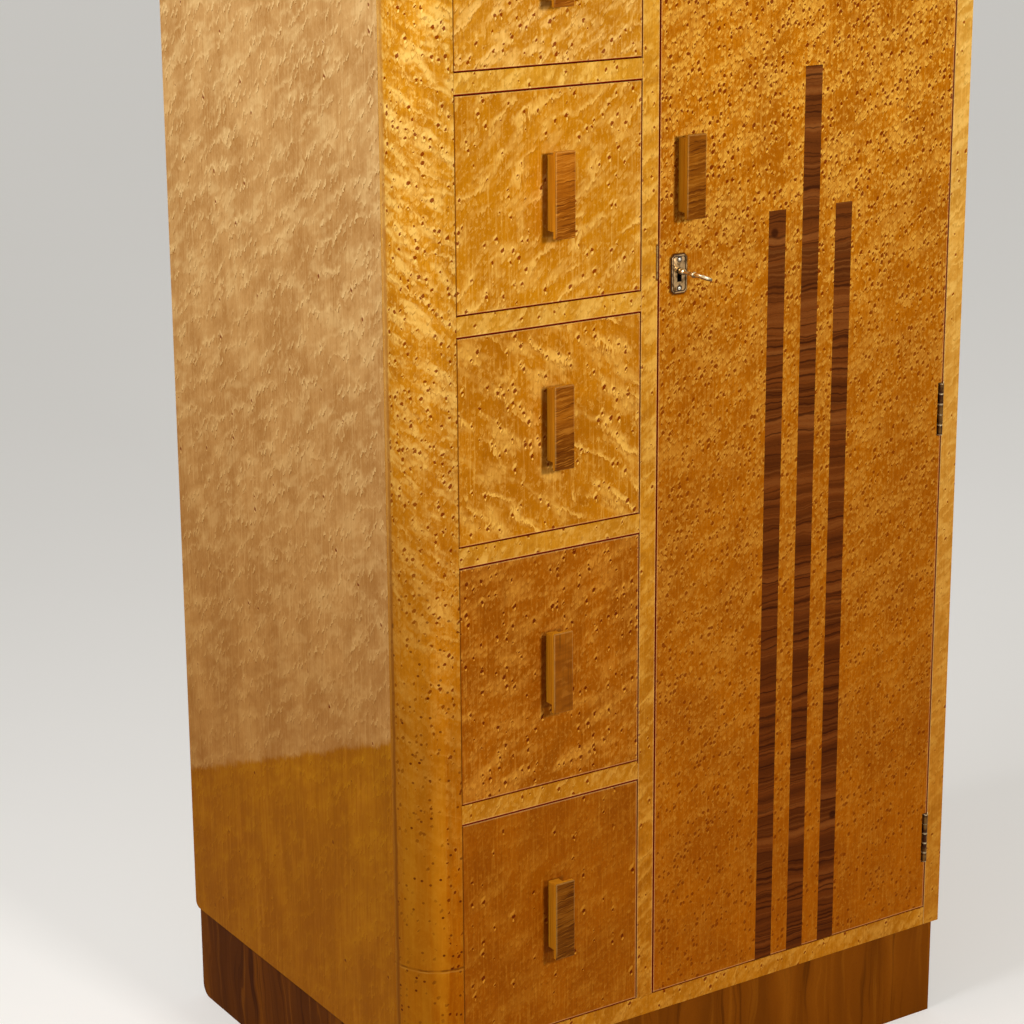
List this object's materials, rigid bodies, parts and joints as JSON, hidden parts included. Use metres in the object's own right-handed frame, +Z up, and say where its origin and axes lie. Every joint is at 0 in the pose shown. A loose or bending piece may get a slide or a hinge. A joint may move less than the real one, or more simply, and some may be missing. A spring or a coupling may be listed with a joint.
{
  "type": "wardrobe",
  "caption": "Free-standing gentleman's wardrobe: a column of drawers behind a rounded corner beside a hanging space with a hinged, locking door, on a set-back plinth.",
  "frame": {"origin": "on the floor, in the middle of the footprint that the carcass and the key standing out of its lock cover together", "axes": "+Z up, the doors and drawers face -Y, +X to the right as seen from the front"},
  "size_m": [0.76, 0.615, 1.4697],
  "materials": {
    "birdseye_maple": "lacquered figured veneer",
    "walnut": "lacquered veneer",
    "walnut_pull": "lacquered solid wood",
    "oak_drawer": "waxed",
    "plywood": "bare",
    "brass": "aged",
    "nickel": "worn nickel plate",
    "steel": "plated tube"
  },
  "bodies": {
    "carcass": {"left_side": "birdseye_maple", "corner_post": "birdseye_maple", "right_side": "birdseye_maple", "top_board": "birdseye_maple", "bottom_board": "birdseye_maple", "partition": "birdseye_maple", "back_panel": "plywood", "plinth_front": "walnut", "plinth_left": "walnut", "plinth_right": "walnut", "hanging_rail": "steel", "drawer_frame_1": "birdseye_maple", "drawer_frame_2": "birdseye_maple", "drawer_frame_3": "birdseye_maple", "drawer_frame_4": "birdseye_maple", "hinge_upper_carcass_leaf": "brass", "hinge_middle_carcass_leaf": "brass", "hinge_lower_carcass_leaf": "brass"},
    "door": {"door_panel": "birdseye_maple", "inlay_left": "walnut", "inlay_centre": "walnut", "inlay_right": "walnut", "door_pull": "walnut_pull", "escutcheon": "nickel", "lock_case": "brass", "hinge_upper_door_leaf": "brass", "hinge_middle_door_leaf": "brass", "hinge_lower_door_leaf": "brass"},
    "key": {"key": "nickel"},
    "lock_bolt": {"lock_bolt": "brass"},
    "drawer_1": {"drawer_1_front": "birdseye_maple", "drawer_1_side_left": "oak_drawer", "drawer_1_side_right": "oak_drawer", "drawer_1_back": "oak_drawer", "drawer_1_bottom": "plywood", "drawer_1_pull": "walnut_pull"},
    "drawer_2": {"drawer_2_front": "birdseye_maple", "drawer_2_side_left": "oak_drawer", "drawer_2_side_right": "oak_drawer", "drawer_2_back": "oak_drawer", "drawer_2_bottom": "plywood", "drawer_2_pull": "walnut_pull"},
    "drawer_3": {"drawer_3_front": "birdseye_maple", "drawer_3_side_left": "oak_drawer", "drawer_3_side_right": "oak_drawer", "drawer_3_back": "oak_drawer", "drawer_3_bottom": "plywood", "drawer_3_pull": "walnut_pull"},
    "drawer_4": {"drawer_4_front": "birdseye_maple", "drawer_4_side_left": "oak_drawer", "drawer_4_side_right": "oak_drawer", "drawer_4_back": "oak_drawer", "drawer_4_bottom": "plywood", "drawer_4_pull": "walnut_pull"},
    "drawer_5": {"drawer_5_front": "birdseye_maple", "drawer_5_side_left": "oak_drawer", "drawer_5_side_right": "oak_drawer", "drawer_5_back": "oak_drawer", "drawer_5_bottom": "plywood", "drawer_5_pull": "walnut_pull"}
  },
  "joints": [
    {"name": "door_hinge", "type": "hinge", "parent": "carcass", "child": "door", "pos_m": [0.3521, -0.253, 0.1489], "axis": [0, 0, 1], "range_deg": [0, 170]},
    {"name": "key_turn", "type": "hinge", "parent": "door", "child": "key", "pos_m": [-0.0381, -0.2525, 1.0039], "axis": [0, -1, 0], "range_deg": [0, 180]},
    {"name": "bolt_throw", "type": "slide", "parent": "door", "child": "lock_bolt", "axis": [-1, 0, 0], "range_m": [0, 0.009]},
    {"name": "drawer_1_slide", "type": "slide", "parent": "carcass", "child": "drawer_1", "axis": [0, -1, 0], "range_m": [0, 0.4]},
    {"name": "drawer_2_slide", "type": "slide", "parent": "carcass", "child": "drawer_2", "axis": [0, -1, 0], "range_m": [0, 0.4]},
    {"name": "drawer_3_slide", "type": "slide", "parent": "carcass", "child": "drawer_3", "axis": [0, -1, 0], "range_m": [0, 0.4]},
    {"name": "drawer_4_slide", "type": "slide", "parent": "carcass", "child": "drawer_4", "axis": [0, -1, 0], "range_m": [0, 0.4]},
    {"name": "drawer_5_slide", "type": "slide", "parent": "carcass", "child": "drawer_5", "axis": [0, -1, 0], "range_m": [0, 0.4]}
  ],
  "couplings": [
    {"joint": "bolt_throw", "follows": "key_turn", "m_per_rad": 0.00286}
  ]
}
